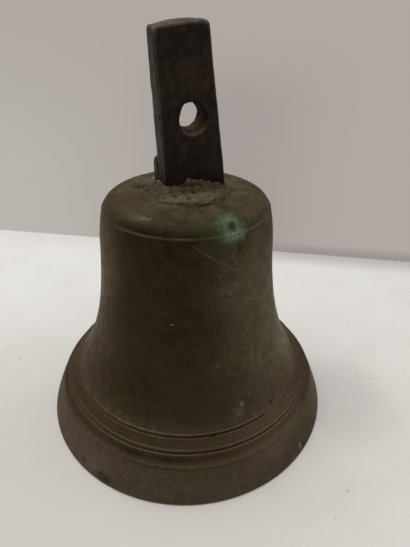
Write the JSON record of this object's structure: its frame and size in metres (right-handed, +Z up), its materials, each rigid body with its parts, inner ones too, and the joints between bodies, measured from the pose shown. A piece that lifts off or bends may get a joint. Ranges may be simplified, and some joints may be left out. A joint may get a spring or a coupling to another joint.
{
  "type": "small hanging bell",
  "caption": "Small cast bronze bell with turned mouldings, an iron hanger strap with a hanging hole through its crown, and a forked iron clapper swinging on a rivet inside.",
  "frame": {"origin": "centre of the mouth, on the plane of the rim that the bell stands on", "axes": "+Z up along the bell's axis, X along the width of the hanger strap, Y along the hole that it hangs by and along the clapper's pin"},
  "size_m": [0.14, 0.14, 0.1715],
  "materials": {
    "cast_bronze": "dark olive-brown patina, satin",
    "plug_bronze": "rough as cast, dull",
    "wrought_iron": "nearly black, forged, satin",
    "clapper_iron": "brown-black forged iron, thin rust"
  },
  "bodies": {
    "bell": {"bell_body": "cast_bronze", "crown_plug": "plug_bronze", "hanger_strap": "wrought_iron", "hanger_wedge": "wrought_iron", "clapper_pin": "clapper_iron"},
    "clapper": {"clapper_stem": "clapper_iron", "clapper_ball": "clapper_iron"}
  },
  "joints": [
    {"name": "clapper_swing", "type": "hinge", "parent": "bell", "child": "clapper", "pos_m": [0, 0, 0.095], "axis": [0, 1, 0], "range_deg": [-24.3, 24.3]}
  ]
}
